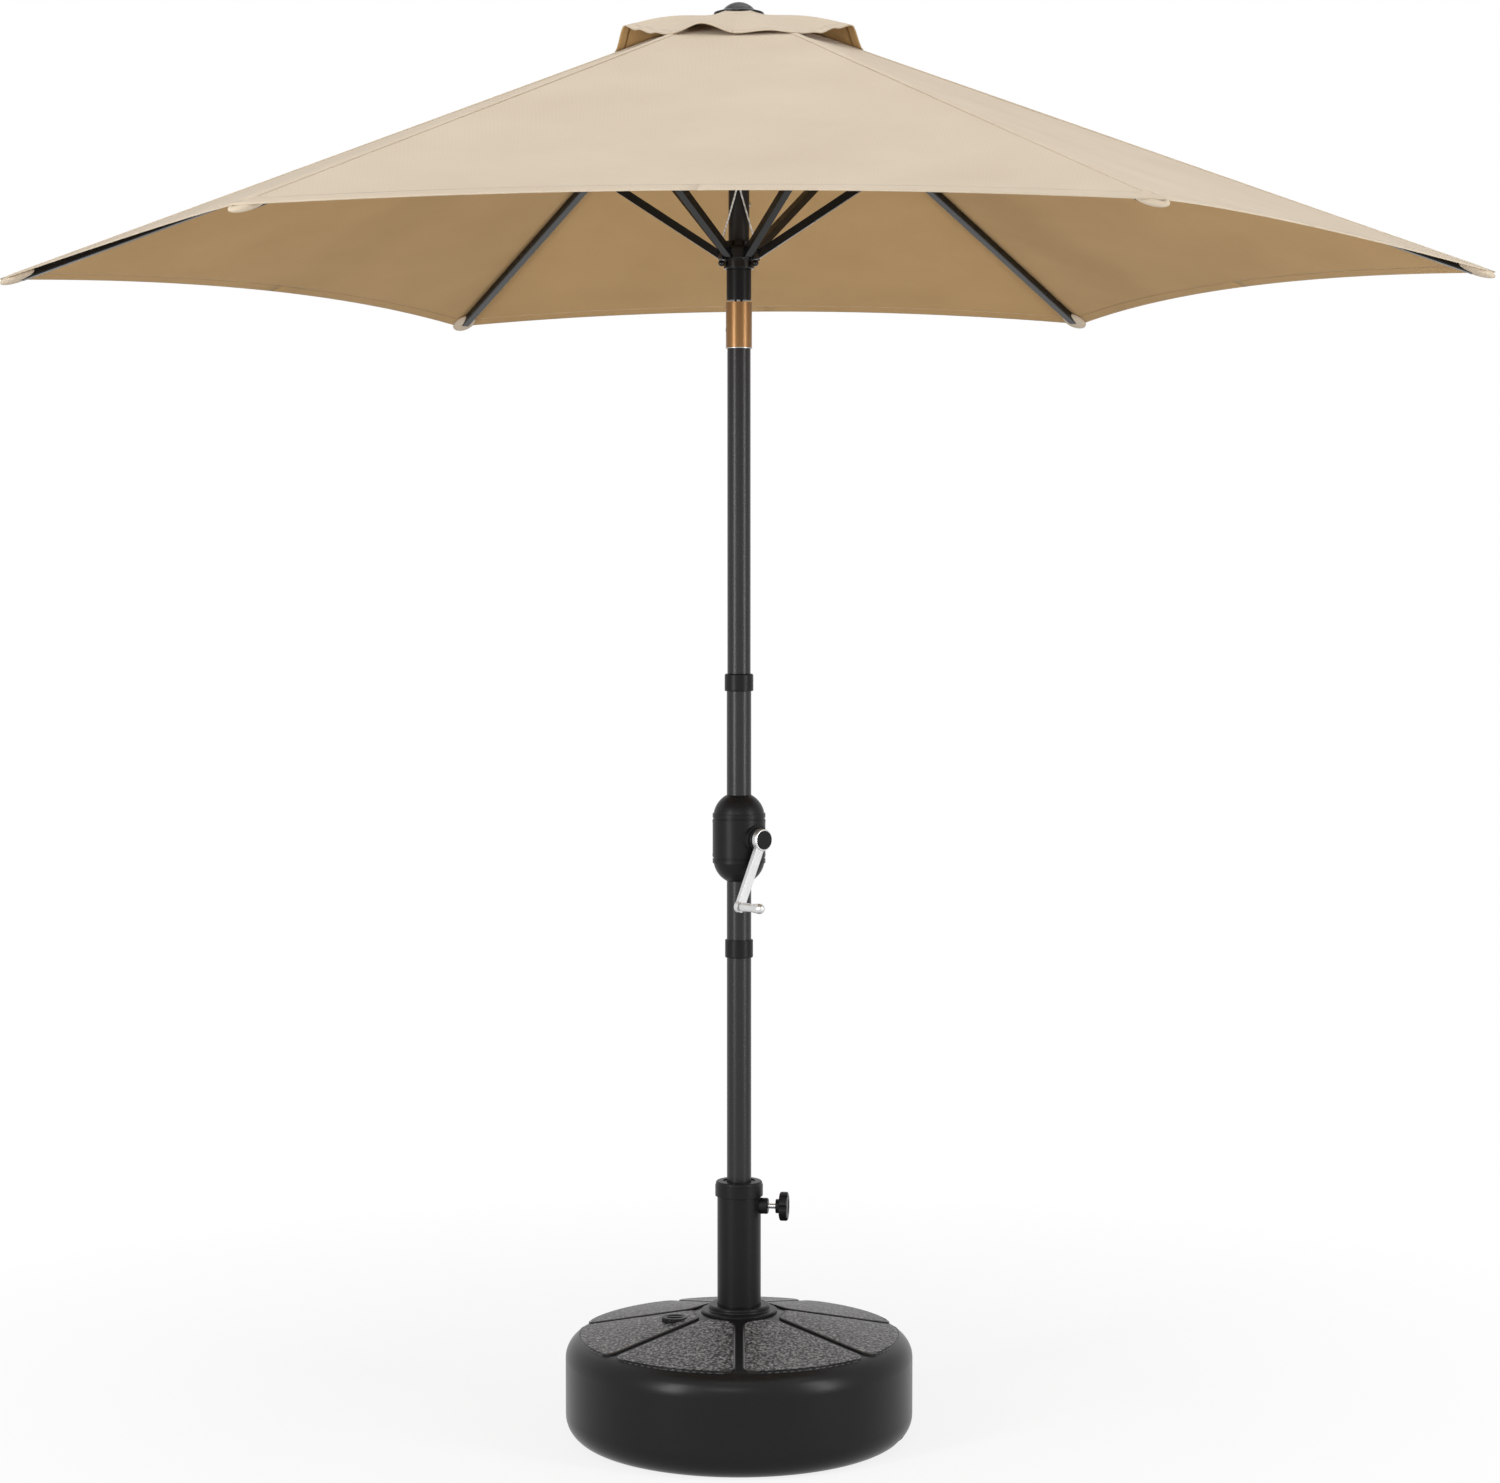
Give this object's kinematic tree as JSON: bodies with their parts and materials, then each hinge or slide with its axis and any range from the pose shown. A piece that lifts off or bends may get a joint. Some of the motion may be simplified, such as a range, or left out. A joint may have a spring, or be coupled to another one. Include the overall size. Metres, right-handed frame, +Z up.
{
  "type": "patio umbrella with base",
  "caption": "Hexagonal patio umbrella with vented cloth canopy, crank lift and push-button tilt, standing in a round fillable plastic base.",
  "frame": {"origin": "on the floor, at the centre of the base's underside, on the pole's axis", "axes": "+Z up along the pole, X along one pair of opposite ribs, -Y towards the front of the base"},
  "size_m": [2.3, 1.9918, 2.222],
  "materials": {
    "black_plastic": "moulded, fine grain",
    "ballast": null,
    "black_enamel": "powder coated steel",
    "grey_cap": "moulded",
    "copper_enamel": "copper metallic lacquer",
    "bright_steel": "zinc plated",
    "cast_alloy": "cast and tumbled",
    "canopy_cloth": "woven polyester",
    "cord": "braided polyester"
  },
  "bodies": {
    "stand": {"base_tank": "black_plastic", "ballast_fill": "ballast", "base_tube": "black_enamel", "base_flange": "black_plastic", "pole_seat": "black_plastic", "tube_cap": "black_plastic", "clamp_nut": "black_enamel"},
    "knob": {"clamp_screw": "bright_steel", "clamp_knob": "black_plastic"},
    "fill_plug": {"fill_cap": "black_plastic"},
    "mast": {"lower_pole": "black_enamel", "pole_foot": "black_plastic", "pole_joiner": "black_enamel", "crank_pole": "black_enamel", "mid_pole": "black_enamel", "joint_collar": "black_plastic", "upper_collar": "black_plastic", "housing_front": "black_plastic", "housing_back": "black_plastic", "housing_screws": "bright_steel", "crank_bezel": "black_plastic", "tilt_fork": "black_plastic", "tilt_pin": "bright_steel", "tilt_sleeve": "copper_enamel", "lift_cord_lower": "cord", "button_spring": "bright_steel"},
    "crank": {"cord_spool": "black_plastic", "crank_arm": "cast_alloy", "crank_cap": "grey_cap"},
    "grip": {"crank_grip": "black_plastic"},
    "button": {"tilt_button": "black_plastic"},
    "upper": {"tilt_knuckle": "black_plastic", "top_pole": "black_enamel", "cord_guide": "black_plastic", "stop_screw": "bright_steel", "crown_hub": "black_plastic", "crown_pins": "bright_steel", "finial": "grey_cap", "lift_cord_upper": "cord"},
    "runner": {"runner": "black_plastic", "lift_cord_loop": "cord", "cord_beads": "cord"},
    "rib_1": {"rib_1": "black_enamel", "canopy_gore_1": "canopy_cloth"},
    "strut_1": {"strut_1": "black_enamel"},
    "rib_2": {"rib_2": "black_enamel", "canopy_gore_2": "canopy_cloth"},
    "strut_2": {"strut_2": "black_enamel"},
    "rib_3": {"rib_3": "black_enamel", "canopy_gore_3": "canopy_cloth"},
    "strut_3": {"strut_3": "black_enamel"},
    "rib_4": {"rib_4": "black_enamel", "canopy_gore_4": "canopy_cloth"},
    "strut_4": {"strut_4": "black_enamel"},
    "rib_5": {"rib_5": "black_enamel", "canopy_gore_5": "canopy_cloth"},
    "strut_5": {"strut_5": "black_enamel"},
    "rib_6": {"rib_6": "black_enamel", "canopy_gore_6": "canopy_cloth"},
    "strut_6": {"strut_6": "black_enamel"}
  },
  "joints": [
    {"name": "pole_swivel", "type": "hinge", "parent": "stand", "child": "mast", "pos_m": [0, 0, 0.2], "axis": [0, 0, 1], "continuous": true},
    {"name": "clamp_turn", "type": "hinge", "parent": "stand", "child": "knob", "pos_m": [0.04985, -0.00384, 0.364], "axis": [0.9971, -0.0767, 0], "range_deg": [0, 720]},
    {"name": "fill_cap_turn", "type": "hinge", "parent": "stand", "child": "fill_plug", "pos_m": [-0.09826, -0.03408, 0.19], "axis": [0, 0, 1], "range_deg": [0, 540]},
    {"name": "tilt", "type": "hinge", "parent": "mast", "child": "upper", "pos_m": [0, 0, 1.748], "axis": [-1, 0, 0], "range_deg": [0, 35]},
    {"name": "tilt_button_press", "type": "slide", "parent": "mast", "child": "button", "axis": [1, 0, 0], "range_m": [0, 0.003], "stiffness_N_per_m": 400, "springref_m": -0.002, "deforming": ["button_spring"]},
    {"name": "fold", "type": "hinge", "parent": "upper", "child": "rib_1", "pos_m": [0.028, 0, 2.19459], "axis": [0, -1, 0], "range_deg": [-67, 0], "deforming": ["canopy_gore_1", "canopy_gore_2", "canopy_gore_3", "canopy_gore_4", "canopy_gore_5", "canopy_gore_6", "lift_cord_loop"]},
    {"name": "strut_1_fold", "type": "hinge", "parent": "rib_1", "child": "strut_1", "pos_m": [0.369, 0, 2.05955], "axis": [0, -1, 0], "range_deg": [0, 122.86]},
    {"name": "rib_2_fold", "type": "hinge", "parent": "upper", "child": "rib_2", "pos_m": [0.014, 0.02425, 2.19459], "axis": [0.866, -0.5, 0], "range_deg": [-67, 0]},
    {"name": "strut_2_fold", "type": "hinge", "parent": "rib_2", "child": "strut_2", "pos_m": [0.1845, 0.31956, 2.05955], "axis": [0.866, -0.5, 0], "range_deg": [0, 122.86]},
    {"name": "rib_3_fold", "type": "hinge", "parent": "upper", "child": "rib_3", "pos_m": [-0.014, 0.02425, 2.19459], "axis": [0.866, 0.5, 0], "range_deg": [-67, 0]},
    {"name": "strut_3_fold", "type": "hinge", "parent": "rib_3", "child": "strut_3", "pos_m": [-0.1845, 0.31956, 2.05955], "axis": [0.866, 0.5, 0], "range_deg": [0, 122.86]},
    {"name": "rib_4_fold", "type": "hinge", "parent": "upper", "child": "rib_4", "pos_m": [-0.028, 0, 2.19459], "axis": [0, 1, 0], "range_deg": [-67, 0]},
    {"name": "strut_4_fold", "type": "hinge", "parent": "rib_4", "child": "strut_4", "pos_m": [-0.369, 0, 2.05955], "axis": [0, 1, 0], "range_deg": [0, 122.86]},
    {"name": "rib_5_fold", "type": "hinge", "parent": "upper", "child": "rib_5", "pos_m": [-0.014, -0.02425, 2.19459], "axis": [-0.866, 0.5, 0], "range_deg": [-67, 0]},
    {"name": "strut_5_fold", "type": "hinge", "parent": "rib_5", "child": "strut_5", "pos_m": [-0.1845, -0.31956, 2.05955], "axis": [-0.866, 0.5, 0], "range_deg": [0, 122.86]},
    {"name": "rib_6_fold", "type": "hinge", "parent": "upper", "child": "rib_6", "pos_m": [0.014, -0.02425, 2.19459], "axis": [-0.866, -0.5, 0], "range_deg": [-67, 0]},
    {"name": "strut_6_fold", "type": "hinge", "parent": "rib_6", "child": "strut_6", "pos_m": [0.1845, -0.31956, 2.05955], "axis": [-0.866, -0.5, 0], "range_deg": [0, 122.86]},
    {"name": "runner_slide", "type": "slide", "parent": "upper", "child": "runner", "axis": [0, 0, 1], "range_m": [-0.41508, 0]},
    {"name": "crank_turn", "type": "hinge", "parent": "mast", "child": "crank", "pos_m": [0.03111, -0.03111, 0.939], "axis": [0.7071, -0.7071, 0], "range_deg": [-2160.1, 0]},
    {"name": "grip_spin", "type": "hinge", "parent": "crank", "child": "grip", "pos_m": [0.02053, -0.08553, 0.83906], "axis": [0.7071, -0.7071, 0], "continuous": true}
  ],
  "couplings": [
    {"joint": "strut_1_fold", "follows": "fold", "ratio": -1.8336},
    {"joint": "rib_2_fold", "follows": "fold", "ratio": 1},
    {"joint": "strut_2_fold", "follows": "fold", "ratio": -1.8336},
    {"joint": "rib_3_fold", "follows": "fold", "ratio": 1},
    {"joint": "strut_3_fold", "follows": "fold", "ratio": -1.8336},
    {"joint": "rib_4_fold", "follows": "fold", "ratio": 1},
    {"joint": "strut_4_fold", "follows": "fold", "ratio": -1.8336},
    {"joint": "rib_5_fold", "follows": "fold", "ratio": 1},
    {"joint": "strut_5_fold", "follows": "fold", "ratio": -1.8336},
    {"joint": "rib_6_fold", "follows": "fold", "ratio": 1},
    {"joint": "strut_6_fold", "follows": "fold", "ratio": -1.8336},
    {"joint": "runner_slide", "follows": "fold", "m_per_rad": 0.35488},
    {"joint": "crank_turn", "follows": "fold", "ratio": 32.239}
  ]
}
